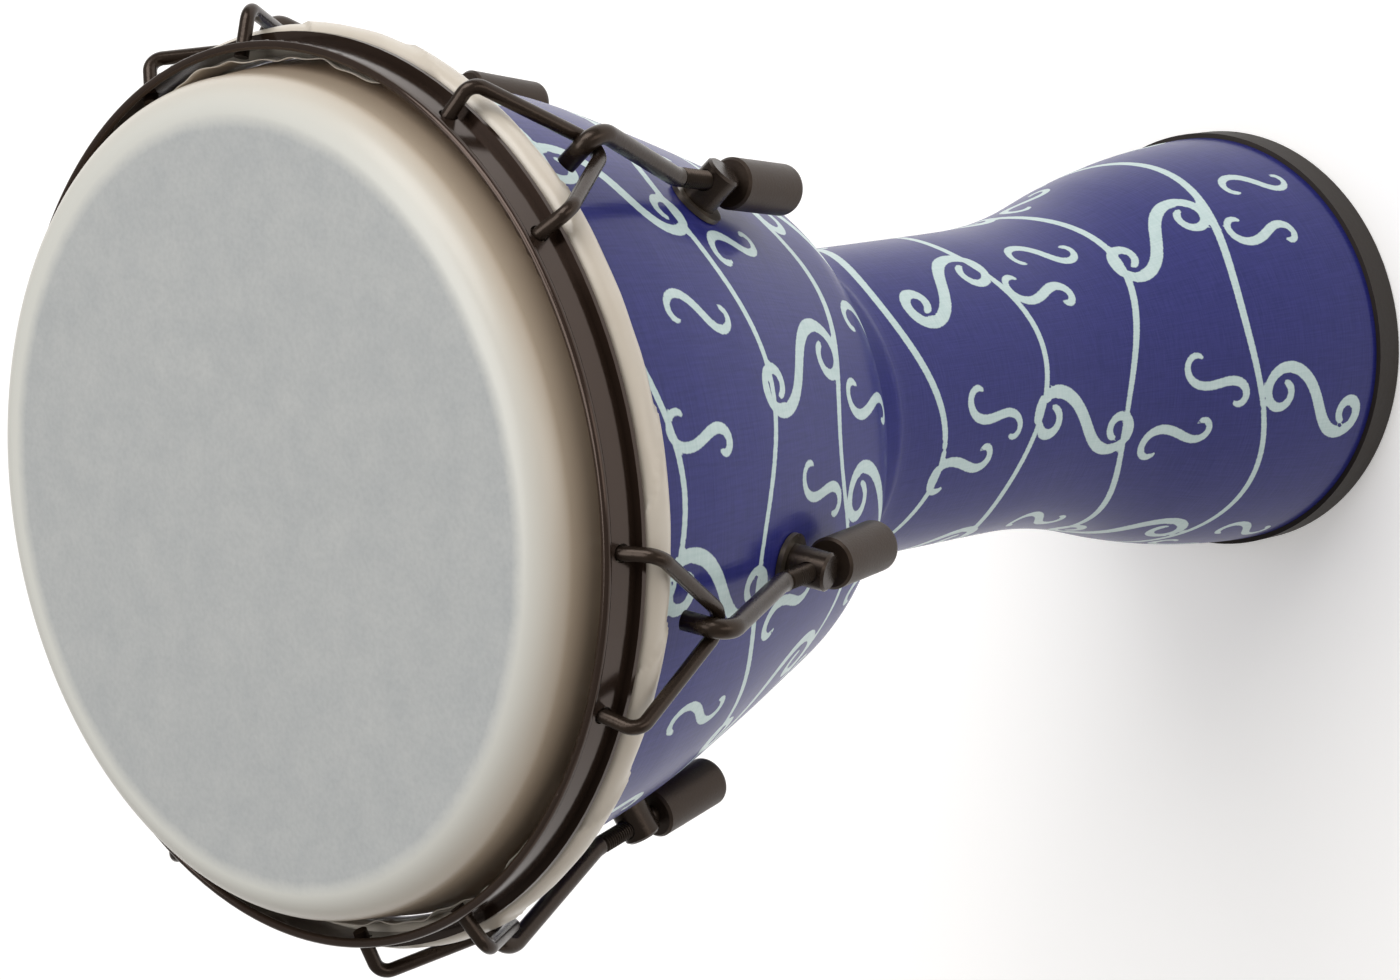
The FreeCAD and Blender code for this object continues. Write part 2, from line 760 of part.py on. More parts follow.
doc.recompute()
failed = [o.Name for o in doc.Objects if {"Invalid", "Error"} & set(o.State)]
for label, part in nodes.items():
    if part.Shape.isNull() or not part.Shape.isValid() or not part.Shape.Solids:
        failed.append(label)
if failed:
    raise SystemExit("not written, because these failed: " + ", ".join(failed))
os.makedirs("parts", exist_ok=True)
for label, part in nodes.items():
    part.Shape.exportStep(f"parts/{label}.step")
    print(label, len(part.Shape.Solids), round(part.Shape.Volume))
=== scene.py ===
import math

import bmesh
import bpy
import numpy as np
from mathutils import Matrix, Vector, kdtree


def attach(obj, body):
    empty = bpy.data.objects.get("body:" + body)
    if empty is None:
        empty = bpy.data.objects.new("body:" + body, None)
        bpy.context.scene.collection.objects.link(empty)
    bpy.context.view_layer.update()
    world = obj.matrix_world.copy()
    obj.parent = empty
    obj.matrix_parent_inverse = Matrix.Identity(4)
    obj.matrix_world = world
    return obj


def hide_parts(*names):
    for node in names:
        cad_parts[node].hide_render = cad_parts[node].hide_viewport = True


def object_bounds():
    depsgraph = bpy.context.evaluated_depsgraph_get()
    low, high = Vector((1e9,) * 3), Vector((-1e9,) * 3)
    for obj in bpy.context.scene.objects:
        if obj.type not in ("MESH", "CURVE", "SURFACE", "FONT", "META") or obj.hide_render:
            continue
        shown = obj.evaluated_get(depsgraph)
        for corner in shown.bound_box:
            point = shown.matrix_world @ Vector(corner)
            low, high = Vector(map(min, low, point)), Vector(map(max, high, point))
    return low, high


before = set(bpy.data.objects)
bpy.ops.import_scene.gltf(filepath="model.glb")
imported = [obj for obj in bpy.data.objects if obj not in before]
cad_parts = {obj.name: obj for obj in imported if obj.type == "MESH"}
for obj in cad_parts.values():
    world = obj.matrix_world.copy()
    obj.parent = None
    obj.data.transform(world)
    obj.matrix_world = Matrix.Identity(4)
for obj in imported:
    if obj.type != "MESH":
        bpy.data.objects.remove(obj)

CAD_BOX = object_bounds()
MM = 0.001

# ---- Place, light and camera --------------------------------------------------------------------
# The drum stands on a pale studio floor. Large soft panels stand round it, so that the lacquer
# and the black steel have something wide and even to reflect.

FLOOR_SIZE = 14.0
FLOOR_DROP = 0.0004
bm = bmesh.new()
bmesh.ops.create_grid(bm, x_segments=1, y_segments=1, size=FLOOR_SIZE / 2)
for corner in bm.verts:
    corner.co.z = -FLOOR_DROP
floor_mesh = bpy.data.meshes.new("studio_floor")
bm.to_mesh(floor_mesh)
bm.free()
floor = bpy.data.objects.new("studio_floor", floor_mesh)
bpy.context.scene.collection.objects.link(floor)
floor_paint = bpy.data.materials.new("floor_paint")
floor_paint.use_nodes = True
paint = floor_paint.node_tree.nodes["Principled BSDF"]
paint.inputs["Base Color"].default_value = (0.93, 0.93, 0.93, 1)
paint.inputs["Roughness"].default_value = 0.9
paint.inputs["Specular IOR Level"].default_value = 0.1
paint.inputs["Emission Color"].default_value = (1, 1, 1, 1)
paint.inputs["Emission Strength"].default_value = 0.24
floor_mesh.materials.append(floor_paint)

world = bpy.data.worlds.new("studio_air")
world.use_nodes = True
air = world.node_tree.nodes["Background"]
air.inputs["Color"].default_value = (1.0, 0.965, 0.93, 1)
air.inputs["Strength"].default_value = 0.31
bpy.context.scene.world = world
bpy.context.scene.view_settings.view_transform = "Standard"

DRUM_MIDDLE = Vector((0, 0, 0.25))
PANELS = {
    # name: (place, width, height, watts, colour)
    "key_panel": ((-0.2, 2.3, 2.2), 2.4, 1.6, 54, (1.0, 0.985, 0.97)),
    "top_panel": ((-0.6, 0.4, 3.0), 2.0, 2.0, 40, (1.0, 0.99, 0.98)),
    "side_panel": ((2.3, 0.9, 0.7), 1.0, 1.6, 9, (1.0, 0.93, 0.86)),
    "low_panel": ((1.2, -2.2, 0.8), 1.4, 1.0, 2.5, (1.0, 0.88, 0.78)),
}
for name, (at, width, height, watts, colour) in PANELS.items():
    lamp = bpy.data.lights.new(name, "AREA")
    lamp.shape = "RECTANGLE"
    lamp.size = width
    lamp.size_y = height
    lamp.energy = watts
    lamp.color = colour
    panel = bpy.data.objects.new(name, lamp)
    panel.location = at
    panel.rotation_euler = (DRUM_MIDDLE - Vector(at)).to_track_quat("-Z", "Y").to_euler()
    bpy.context.scene.collection.objects.link(panel)

CAMERA_AT = Vector((0.859, 0.3683, 1.2104))
CAMERA_FORWARD = Vector((-0.6426, -0.2887, -0.7097))
CAMERA_UP = Vector((-0.2850, 0.9499, -0.1284))
lens = bpy.data.cameras.new("camera")
lens.sensor_width = 36
lens.lens = 102.86
lens.shift_x = -0.0317
lens.shift_y = -0.0149
camera = bpy.data.objects.new("camera", lens)
across = CAMERA_FORWARD.cross(CAMERA_UP).normalized()
upright = across.cross(CAMERA_FORWARD).normalized()
turn = Matrix((across, upright, -CAMERA_FORWARD.normalized())).transposed().to_4x4()
camera.matrix_world = Matrix.Translation(CAMERA_AT) @ turn
bpy.context.scene.collection.objects.link(camera)
bpy.context.scene.camera = camera

# ---- Shell --------------------------------------------------------------------------------------
# The body is one moulded goblet of black synthetic. Only its inside shows, up through the foot,
# and it has a faint clouding and a dull, slightly pebbled face.


def finish(name, colour, roughness, **sockets):
    """A new Principled material; sockets are its other inputs, with underscores for spaces."""
    made = bpy.data.materials.new(name)
    made.use_nodes = True
    shader = made.node_tree.nodes["Principled BSDF"]
    shader.inputs["Base Color"].default_value = (*colour, 1)
    shader.inputs["Roughness"].default_value = roughness
    for socket, value in sockets.items():
        shader.inputs[socket.replace("_", " ")].default_value = value
    return made


def node(material, kind, **settings):
    """A node of the material's tree, with its own properties and plain input values set."""
    made = material.node_tree.nodes.new("ShaderNode" + kind)
    for key, value in settings.items():
        if hasattr(made, key):
            setattr(made, key, value)
        else:
            made.inputs[key.replace("_", " ")].default_value = value
    return made


def wire(material, *links):
    """Links sockets in pairs, each (from node, output name, to node, input name)."""
    for source, out, target, into in links:
        material.node_tree.links.new(source.outputs[out], target.inputs[into])


def shader_of(material):
    return material.node_tree.nodes["Principled BSDF"]


def mottled(material, dark, light, scale, detail=4.0, rough=None, bump=0.0, fine=0.0, depth=0.0002):
    """Varies a finish over the piece: two colours, a roughness range, and a fine bump."""
    place = node(material, "TexCoord")
    cloud = node(material, "TexNoise", Scale=scale, Detail=detail)
    blend = node(material, "Mix", data_type="RGBA")
    blend.inputs[6].default_value = (*dark, 1)
    blend.inputs[7].default_value = (*light, 1)
    wire(material, (place, "Object", cloud, "Vector"), (cloud, "Fac", blend, "Factor"))
    material.node_tree.links.new(blend.outputs[2], shader_of(material).inputs["Base Color"])
    if rough:
        spread = node(material, "MapRange", To_Min=rough[0], To_Max=rough[1])
        wire(material, (cloud, "Fac", spread, "Value"), (spread, "Result", shader_of(material), "Roughness"))
    if bump:
        grain = node(material, "TexNoise", Scale=fine, Detail=6.0)
        push = node(material, "Bump", Strength=bump, Distance=depth)
        wire(
            material,
            (place, "Object", grain, "Vector"),
            (grain, "Fac", push, "Height"),
            (push, "Normal", shader_of(material), "Normal"),
        )
    return material


shell_black = finish("shell_moulding", (0.03, 0.03, 0.033), 0.6)
mottled(shell_black, (0.018, 0.018, 0.02), (0.05, 0.05, 0.054), 14, rough=(0.5, 0.75), bump=0.5, fine=420)


def dress(node_name, material):
    """Gives a CAD node that stays in view its finish."""
    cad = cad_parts[node_name]
    cad.data.materials.clear()
    cad.data.materials.append(material)


dress("shell", shell_black)

# ---- Printed cloth ------------------------------------------------------------------------------
# The shell is dressed in a woven cotton print, glued on and lacquered to a gloss. One piece covers
# the bowl and one the stem. The outline is read from the cloth that the frame carries, and spun.

RING_VERTICES = 60
OUTWARDS = 0.3
cloth_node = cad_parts["printed_cloth"]
rings = {}
for face in cloth_node.data.polygons:
    centre = Vector((face.center.x, face.center.y, 0)).normalized()
    if face.normal.dot(centre) > OUTWARDS:
        for index in face.vertices:
            at = cloth_node.data.vertices[index].co
            rings.setdefault(round(at.z, 5), {})[index] = math.hypot(at.x, at.y)
outline = [(sum(r.values()) / len(r), z) for z, r in sorted(rings.items()) if len(r) >= RING_VERTICES]


def along(points, step):
    """Evenly spaced points of the smooth curve through a list of points."""
    spots = [np.array(p, float) for p in points]
    spots = [2 * spots[0] - spots[1], *spots, 2 * spots[-1] - spots[-2]]
    fine = []
    for a, b, c, d in zip(spots, spots[1:], spots[2:], spots[3:]):
        gaps = [max(np.linalg.norm(q - p), 1e-9) ** 0.5 for p, q in ((a, b), (b, c), (c, d))]
        lean_b = ((b - a) / gaps[0] - (c - a) / (gaps[0] + gaps[1]) + (c - b) / gaps[1]) * gaps[1]
        lean_c = ((c - b) / gaps[1] - (d - b) / (gaps[1] + gaps[2]) + (d - c) / gaps[2]) * gaps[1]
        for part in np.linspace(0, 1, 12, endpoint=False):
            p2, p3 = part * part, part**3
            fine.append(
                b * (2 * p3 - 3 * p2 + 1) + lean_b * (p3 - 2 * p2 + part)
                + c * (3 * p2 - 2 * p3) + lean_c * (p3 - p2)
            )
    fine.append(spots[-2])
    fine = np.array(fine)
    run = np.concatenate([[0], np.cumsum(np.linalg.norm(np.diff(fine, axis=0), axis=1))])
    places = np.linspace(0, run[-1], max(2, round(run[-1] / step)) + 1)
    return np.stack([np.interp(places, run, fine[:, k]) for k in range(fine.shape[1])], axis=1)


OUTLINE = along(outline, 0.5 * MM)


def cloth_radius(height):
    return float(np.interp(height, OUTLINE[:, 1], OUTLINE[:, 0]))


# The print is pale blue-green scrollwork on royal blue, laid out by rule in even rows. A scroll is one
# stroke whose bend grows towards a curl at each end. Every other row is shifted and turned over, and
# a waving line runs round the drum above each row. Its lengths are in mm and its angles in degrees.

BRUSH_STEP = 0.35
SWELL = 0.24
BRUSH_WIDTH = 0.80
BOWL_ROWS = (290, 344, 398)
BOWL_SCROLLS = 6
BOWL_ARM = 64
BOWL_SLICES = 500
STEM_ROWS = (42, 96, 150, 204)
STEM_SCROLLS = 3
STEM_ARM = 60
STEM_SLICES = 360
SCROLL_WIDTH = 4.8
CURL_WIDTHS = (3.6, 3.4)
WAVE_WIDTH = 3.8
WAVE_SWING = 0.13


def scroll(middle, heading, length, turned, far=1.0):
    """A scroll through a middle point, curled at both ends; far is the second arm's share."""
    arms = []
    for about_face, share in ((0, 1.0), (180, far)):
        angle, height = middle
        way = math.radians(heading + about_face)
        steps = round(length * share / BRUSH_STEP)
        arm = []
        for step in range(steps):
            way += math.radians(turned) * (2 * step + 1) / steps**2
            height += math.sin(way) * BRUSH_STEP
            angle += math.degrees(math.cos(way) * BRUSH_STEP * MM / cloth_radius(height * MM))
            arm.append((angle, height))
        arms.append(arm)
    return arms[1][::-1] + [middle] + arms[0]


def scrollwork(rows, count, length):
    """Rows of scrolls with two small curls each, and a waving line above each row."""
    strokes = []
    pitch = rows[1] - rows[0]
    for row, height in enumerate(rows):
        hand = -1 if row % 2 else 1
        for turn in range(count):
            angle = 360 / count * (turn + 0.5 * (row % 2))
            lean = hand * (28 + 6 * math.sin(2.4 * turn + row))
            strokes.append((SCROLL_WIDTH, scroll((angle, height), lean, length, hand * 400, 0.86)))
            beside = angle + 180 / count
            first = scroll((beside - 8, height + 7), 90 + hand * 24, 30, hand * -250, 0.7)
            second = scroll((beside + 9, height - 7), 70 - hand * 30, 27, hand * 230, 0.8)
            strokes += zip(CURL_WIDTHS, (first, second))
        around = np.arange(0, 364, 0.2)
        middle = height + pitch / 2
        swing = WAVE_SWING * pitch * np.sin(np.radians(around * count + 90 * row))
        strokes.append((WAVE_WIDTH, list(zip(around, middle + swing))))
    return strokes


def brushed(strokes):
    """Every stroke as points on the cloth and half widths, swelling along it to fine tips."""
    spots, halves = [], []
    for number, (width, path) in enumerate(strokes):
        run = np.linspace(0, 1, len(path))
        length = len(path) * BRUSH_STEP
        press = np.sin(math.pi * run ** (0.7 + 0.25 * (number % 3)))
        tips = np.clip(np.minimum(run, 1 - run) * length / 3, 0, 1) ** 0.5
        half = width * BRUSH_WIDTH / 2 * (1 - SWELL + 2 * SWELL * press) * (0.6 + 0.4 * tips)
        for (across, height), reach in zip(path, half):
            angle = math.radians(across)
            radius = cloth_radius(height * MM)
            spots.append((radius * math.cos(angle), radius * math.sin(angle), height * MM))
            halves.append(reach * MM)
    return spots, halves


CLOTH = 0.4 * MM
FOLD = 0.262
FACE_EVERY = 8
BACK_EVERY = 12
CLOTH_STEP = 1.45 * MM
WEAVE_RADIUS = 0.08
WELD = 1e-6


def spun(name, chain, slices, closed=True):
    """Spins a chain of (radius, height) points round the drum's axis into a smooth mesh."""
    bm = bmesh.new()
    ring = [bm.verts.new((r, 0, z)) for r, z in chain]
    edges = [bm.edges.new((a, b)) for a, b in zip(ring, ring[1:])]
    if closed:
        edges.append(bm.edges.new((ring[-1], ring[0])))
    bmesh.ops.spin(
        bm, geom=ring + edges, cent=(0, 0, 0), axis=(0, 0, 1), angle=math.tau, steps=slices, use_merge=True
    )
    bmesh.ops.remove_doubles(bm, verts=bm.verts, dist=WELD)
    bmesh.ops.recalc_face_normals(bm, faces=bm.faces)
    for f in bm.faces:
        f.smooth = True
    mesh = bpy.data.meshes.new(name)
    bm.to_mesh(mesh)
    bm.free()
    piece = bpy.data.objects.new(name, mesh)
    bpy.context.scene.collection.objects.link(piece)
    return piece


def cloth_piece(name, low, high, slices, strokes):
    """Spins one stretch of the outline into a closed skin and prints it."""
    face = OUTLINE[(OUTLINE[:, 1] >= low) & (OUTLINE[:, 1] <= high)]
    knots = face[FACE_EVERY:-FACE_EVERY:FACE_EVERY]
    face = along([tuple(face[0]), *map(tuple, knots), tuple(face[-1])], CLOTH_STEP)
    slope = np.gradient(face, axis=0)
    slope /= np.linalg.norm(slope, axis=1)[:, None]
    back = face - CLOTH * np.stack([slope[:, 1], -slope[:, 0]], axis=1)
    back = np.concatenate([back[:1], back[BACK_EVERY:-BACK_EVERY:BACK_EVERY], back[-1:]])[::-1]
    piece = spun(name, np.concatenate([face, back]), slices)
    mesh = piece.data
    spots, halves = brushed(strokes)
    tree = kdtree.KDTree(len(spots))
    for index, spot in enumerate(spots):
        tree.insert(spot, index)
    tree.balance()
    printed = mesh.attributes.new("ink", "FLOAT", "POINT")
    woven = mesh.attributes.new("weave", "FLOAT_VECTOR", "POINT")
    reach = []
    threads = []
    for vertex in mesh.vertices:
        _, index, distance = tree.find(vertex.co)
        reach.append((distance - halves[index]) / MM)
        angle = math.atan2(vertex.co.y, vertex.co.x)
        threads.append((math.cos(angle) * WEAVE_RADIUS, math.sin(angle) * WEAVE_RADIUS, vertex.co.z))
    printed.data.foreach_set("value", reach)
    woven.data.foreach_set("vector", np.array(threads).ravel())
    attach(piece, "drum")
    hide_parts("printed_cloth")
    return piece


ROYAL = (0.009, 0.012, 0.118)
ROYAL_WORN = (0.020, 0.022, 0.165)
PALE = (0.430, 0.560, 0.560)
PALE_THREAD = (0.530, 0.640, 0.640)
lacquered_print = finish(
    "lacquered_print", ROYAL, 0.6, Specular_IOR_Level=0.1, Coat_Weight=0.5, Coat_Roughness=0.18, Coat_IOR=1.47
)
ink = node(lacquered_print, "Attribute", attribute_name="ink")
weave = node(lacquered_print, "Attribute", attribute_name="weave")
rough_edge = node(lacquered_print, "TexNoise", Scale=900, Detail=2.0)
wander = node(lacquered_print, "MapRange", To_Min=-0.22, To_Max=0.22)
edge = node(lacquered_print, "Math", operation="ADD")
line = node(lacquered_print, "MapRange", From_Min=0.16, From_Max=-0.16)
warp_place = node(lacquered_print, "Mapping", vector_type="POINT", Scale=(1.0, 1.0, 0.06))
weft_place = node(lacquered_print, "Mapping", vector_type="POINT", Scale=(0.06, 0.06, 1.0))
warp = node(lacquered_print, "TexNoise", Scale=1500, Detail=3.0)
weft = node(lacquered_print, "TexNoise", Scale=1500, Detail=3.0)
threads = node(lacquered_print, "Math", operation="ADD")
slub = node(lacquered_print, "MapRange", From_Min=0.7, From_Max=1.3)
blue = node(lacquered_print, "Mix", data_type="RGBA")
pale = node(lacquered_print, "Mix", data_type="RGBA")
print_mix = node(lacquered_print, "Mix", data_type="RGBA")
blue.inputs[6].default_value = (*ROYAL, 1)
blue.inputs[7].default_value = (*ROYAL_WORN, 1)
pale.inputs[6].default_value = (*PALE, 1)
pale.inputs[7].default_value = (*PALE_THREAD, 1)
cloth_bump = node(lacquered_print, "Bump", Strength=0.25, Distance=0.0002)
wire(
    lacquered_print,
    (weave, "Vector", rough_edge, "Vector"),
    (rough_edge, "Fac", wander, "Value"),
    (ink, "Fac", edge, 0),
    (wander, "Result", edge, 1),
    (edge, "Value", line, "Value"),
    (weave, "Vector", warp_place, "Vector"),
    (weave, "Vector", weft_place, "Vector"),
    (warp_place, "Vector", warp, "Vector"),
    (weft_place, "Vector", weft, "Vector"),
    (warp, "Fac", threads, 0),
    (weft, "Fac", threads, 1),
    (threads, "Value", slub, "Value"),
    (slub, "Result", blue, "Factor"),
    (slub, "Result", pale, "Factor"),
    (blue, 2, print_mix, 6),
    (pale, 2, print_mix, 7),
    (line, "Result", print_mix, "Factor"),
    (print_mix, 2, shader_of(lacquered_print), "Base Color"),
    (threads, "Value", cloth_bump, "Height"),
    (cloth_bump, "Normal", shader_of(lacquered_print), "Normal"),
    (cloth_bump, "Normal", shader_of(lacquered_print), "Coat Normal"),
)
print_strokes = scrollwork(BOWL_ROWS, BOWL_SCROLLS, BOWL_ARM) + scrollwork(STEM_ROWS, STEM_SCROLLS, STEM_ARM)
bowl_cloth = cloth_piece("bowl_cloth", FOLD, outline[-1][1], BOWL_SLICES, print_strokes)
stem_cloth = cloth_piece("stem_cloth", outline[0][1], FOLD, STEM_SLICES, print_strokes)
for piece in (bowl_cloth, stem_cloth):
    piece.data.materials.append(lacquered_print)

# ---- Foot trim ----------------------------------------------------------------------------------
# A black rubber channel is pushed up over the foot, so that the drum stands without a sound.

foot_rubber = finish("foot_rubber", (0.03, 0.026, 0.023), 0.55, Specular_IOR_Level=0.35)
mottled(foot_rubber, (0.014, 0.010, 0.008), (0.032, 0.025, 0.020), 60, rough=(0.5, 0.72), bump=0.35, fine=700)
dress("foot_trim", foot_rubber)

# ---- Head ---------------------------------------------------------------------------------------
# The head is a clear polyester film with a matt grey-white coat on the playing area. The coat stops
# short of the shoulder, where the film turns over the bearing edge and goes down as the collar.

EDGE = CAD_BOX[1][2]
FILM = 0.35 * MM
FILM_RADIUS = 126.65 * MM
SHOULDER = 11.65 * MM
COAT_RADIUS = 114.0 * MM
COLLAR_TOP = EDGE - 12.15 * MM
FOLD_RING = 135.0 * MM
FOLD_TUBE = 5.6 * MM
FOLD_HEIGHT = EDGE - 34.15 * MM
FOLD_SLICES = 900
HEAD_SLICES = 288
FLAT_END = 114
FLAT_STEP = 6


def film_chain(inset):
    """The film's section from the middle to the foot of the collar, moved in by a distance."""
    turn_radius = SHOULDER - inset
    middle = (FILM_RADIUS - SHOULDER, EDGE - SHOULDER)
    flat = [(r * MM, EDGE - inset) for r in range(0, FLAT_END, FLAT_STEP)]
    bend = [
        (middle[0] + turn_radius * math.sin(a), middle[1] + turn_radius * math.cos(a))
        for a in np.linspace(0, math.pi / 2, 19)
    ]
    foot = (FOLD_RING - FOLD_TUBE + 0.3 * MM - inset, FOLD_HEIGHT + 1.0 * MM)
    collar = [
        (np.interp(t, (0, 1), (FILM_RADIUS - inset, foot[0])), np.interp(t, (0, 1), (COLLAR_TOP, foot[1])))
        for t in np.linspace(0, 1, 8)
    ]
    return flat + bend + collar


film_coat = finish("film_coat", (0.36, 0.37, 0.37), 0.5, Specular_IOR_Level=0.35)
place = node(film_coat, "TexCoord")
parts_of = node(film_coat, "SeparateXYZ")
flat_place = node(film_coat, "CombineXYZ")
coat_place = node(film_coat, "Mapping", vector_type="POINT", Location=(-2.4 * MM, 0.0, 0.0))
from_middle = node(film_coat, "VectorMath", operation="LENGTH")
cloudy = node(film_coat, "TexNoise", Scale=75, Detail=8.0, Roughness=0.72)
speckle = node(film_coat, "TexNoise", Scale=620, Detail=4.0)
wobble = node(film_coat, "MapRange", To_Min=-0.8 * MM, To_Max=0.8 * MM)
edge_place = node(film_coat, "Math", operation="ADD")
coated = node(film_coat, "MapRange", From_Min=COAT_RADIUS + 2.2 * MM, From_Max=COAT_RADIUS - 2.4 * MM)
coat_tone = node(film_coat, "ValToRGB")
coat_tone.color_ramp.elements[0].position = 0.35
coat_tone.color_ramp.elements[0].color = (0.362, 0.378, 0.382, 1)
coat_tone.color_ramp.elements[1].position = 0.68
coat_tone.color_ramp.elements[1].color = (0.405, 0.418, 0.416, 1)
# The bare film keeps its own pale cream at the bearing edge. Down the shoulder and collar it is painted
# darker and browner by height: painted shade, where the collar goes down into the gap inside the counterhoop.
film_tone_and_collar_shade = node(film_coat, "ValToRGB")
film_tone_and_collar_shade.color_ramp.elements[0].position = 0.0
film_tone_and_collar_shade.color_ramp.elements[0].color = (0.25, 0.18, 0.125, 1)
film_tone_and_collar_shade.color_ramp.elements[1].position = 1.0
film_tone_and_collar_shade.color_ramp.elements[1].color = (0.555, 0.56, 0.525, 1)
collar_half_shade = film_tone_and_collar_shade.color_ramp.elements.new(0.55)
collar_half_shade.color = (0.45, 0.375, 0.29, 1)
collar_shade_depth = node(film_coat, "MapRange", From_Min=EDGE - 24 * MM, From_Max=EDGE)
skin_mix = node(film_coat, "Mix", data_type="RGBA")
specks = node(film_coat, "Mix", data_type="RGBA", blend_type="MULTIPLY")
speck_tone = node(film_coat, "ValToRGB")
speck_tone.color_ramp.elements[0].position = 0.3
speck_tone.color_ramp.elements[0].color = (0.93, 0.932, 0.935, 1)
speck_tone.color_ramp.elements[1].position = 0.62
dull = node(film_coat, "MapRange", To_Min=0.3, To_Max=0.62)
film_grain = node(film_coat, "Bump", Strength=0.12, Distance=0.0002)
wire(
    film_coat,
    (place, "Object", parts_of, "Vector"),
    (parts_of, "X", flat_place, "X"),
    (parts_of, "Y", flat_place, "Y"),
    (flat_place, "Vector", coat_place, "Vector"),
    (coat_place, "Vector", from_middle, 0),
    (place, "Object", cloudy, "Vector"),
    (place, "Object", speckle, "Vector"),
    (cloudy, "Fac", wobble, "Value"),
    (from_middle, "Value", edge_place, 0),
    (wobble, "Result", edge_place, 1),
    (edge_place, "Value", coated, "Value"),
    (cloudy, "Fac", coat_tone, "Fac"),
    (parts_of, "Z", collar_shade_depth, "Value"),
    (collar_shade_depth, "Result", film_tone_and_collar_shade, "Fac"),
    (coated, "Result", skin_mix, "Factor"),
    (coated, "Result", specks, "Factor"),
    (film_tone_and_collar_shade, "Color", skin_mix, 6),
    (coat_tone, "Color", skin_mix, 7),
    (speckle, "Fac", speck_tone, "Fac"),
    (skin_mix, 2, specks, 6),
    (speck_tone, "Color", specks, 7),
    (specks, 2, shader_of(film_coat), "Base Color"),
    (coated, "Result", dull, "Value"),
    (dull, "Result", shader_of(film_coat), "Roughness"),
    (speckle, "Fac", film_grain, "Height"),
    (film_grain, "Normal", shader_of(film_coat), "Normal"),
)
head_film = spun("head_film", film_chain(0.0) + film_chain(FILM)[::-1], HEAD_SLICES, closed=False)
head_film.data.materials.append(film_coat)
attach(head_film, "head")
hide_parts("drumhead")

# The film's outer edge is gathered round the steel hoop in overlapping laps and glued, and a ragged
# lip of it stands up inside the counterhoop.

LAPS = 14
LAP_STEP = 0.62 * MM
LAP_LEAN = 0.06
LAP_RIPPLE = 0.12 * MM


def lap_place(angle, about):
    """How far round its own lap a point of the fold lies, from 0 to 1."""
    drift = 0.16 * math.sin(angle * 3 + 0.7) + 0.10 * math.sin(angle * 7)
    return (angle / math.tau * LAPS + drift + LAP_LEAN * math.sin(about) * 3) % 1.0


tube = [
    (FOLD_RING + FOLD_TUBE * math.cos(a), FOLD_HEIGHT + FOLD_TUBE * math.sin(a))
    for a in np.linspace(0, math.tau, 28, endpoint=False)
]
hoop_fold = spun("hoop_fold", tube, FOLD_SLICES)
for vertex in hoop_fold.data.vertices:
    radius = math.hypot(vertex.co.x, vertex.co.y)
    angle = math.atan2(vertex.co.y, vertex.co.x)
    about = math.atan2(vertex.co.z - FOLD_HEIGHT, radius - FOLD_RING)
    lap = lap_place(angle, about)
    ripple = LAP_RIPPLE * (math.sin(angle * 41 + 3 * about) - 1) * (1 - lap)
    moved = FOLD_TUBE + LAP_STEP * (lap**3 - 1) + ripple
    reach = FOLD_RING + moved * math.cos(about)
    vertex.co = (reach * math.cos(angle), reach * math.sin(angle), FOLD_HEIGHT + moved * math.sin(about))
fold_film = finish("fold_film", (0.56, 0.53, 0.48), 0.34, Coat_Weight=0.25, Coat_Roughness=0.2)
mottled(
    fold_film, (0.44, 0.385, 0.315), (0.60, 0.565, 0.50), 26, 6.0, rough=(0.26, 0.46), bump=0.3, fine=180
)
hoop_fold.data.materials.append(fold_film)
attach(hoop_fold, "head")
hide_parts("drumhead")

LIP_LOW = FOLD_HEIGHT + 4.4 * MM
LIP_HIGH = FOLD_HEIGHT + 18.6 * MM
LIP_RADIUS = 130.6 * MM
LIP_SHEET = 0.3 * MM
LIP_GATHER = 0.75 * MM
LIP_TALL = math.radians(112)
LIP_TALL_SPREAD = 0.45
LIP_SLICES = 720
lip_chain = [(LIP_RADIUS, z) for z in np.linspace(LIP_LOW, LIP_HIGH, 7)]
lip_back = [(r - LIP_SHEET, z) for r, z in lip_chain[::-1]]
film_lip = spun("film_lip", lip_chain + lip_back, LIP_SLICES)
for vertex in film_lip.data.vertices:
    angle = math.atan2(vertex.co.y, vertex.co.x)
    up = (vertex.co.z - LIP_LOW) / (LIP_HIGH - LIP_LOW)
    gather = math.sin(angle * 23 + 1.4 * math.sin(angle * 5)) + 0.5 * math.sin(angle * 61 + 2)
    tall = math.exp(-(((angle - LIP_TALL) / LIP_TALL_SPREAD) ** 2))
    ragged = 0.40 + 0.38 * tall + 0.08 * math.sin(angle * 9 + 1) + 0.05 * math.sin(angle * 37)
    reach = math.hypot(vertex.co.x, vertex.co.y) + LIP_GATHER * gather * up
    height = LIP_LOW + up * ragged * (LIP_HIGH - LIP_LOW)
    vertex.co = (reach * math.cos(angle), reach * math.sin(angle), height)
film_lip.data.materials.append(fold_film)
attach(film_lip, "head")
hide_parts("drumhead")

hoop_wire = finish("hoop_wire", (0.34, 0.33, 0.32), 0.38, Metallic=1.0)
mottled(hoop_wire, (0.28, 0.27, 0.26), (0.42, 0.41, 0.40), 60, rough=(0.3, 0.5), bump=0.2, fine=700)
dress("flesh_hoop", hoop_wire)

# ---- Counterhoop --------------------------------------------------------------------------------
# The counterhoop is rolled steel strip with a bead along its top and a flange at its foot, stove
# enamelled in a glossy black. Its brown cast and the warm tint of its reflections are painted warm
# reflection. Its twelve holes take the tips of the claws.

hoop_enamel = finish(
    "hoop_enamel", (0.020, 0.013, 0.010), 0.14, Specular_IOR_Level=0.55, Specular_Tint=(1.0, 0.78, 0.68, 1)
)
mottled(
    hoop_enamel, (0.010, 0.006, 0.004), (0.024, 0.015, 0.011), 22, rough=(0.10, 0.20), bump=0.12, fine=240
)
dress("counter_hoop", hoop_enamel)
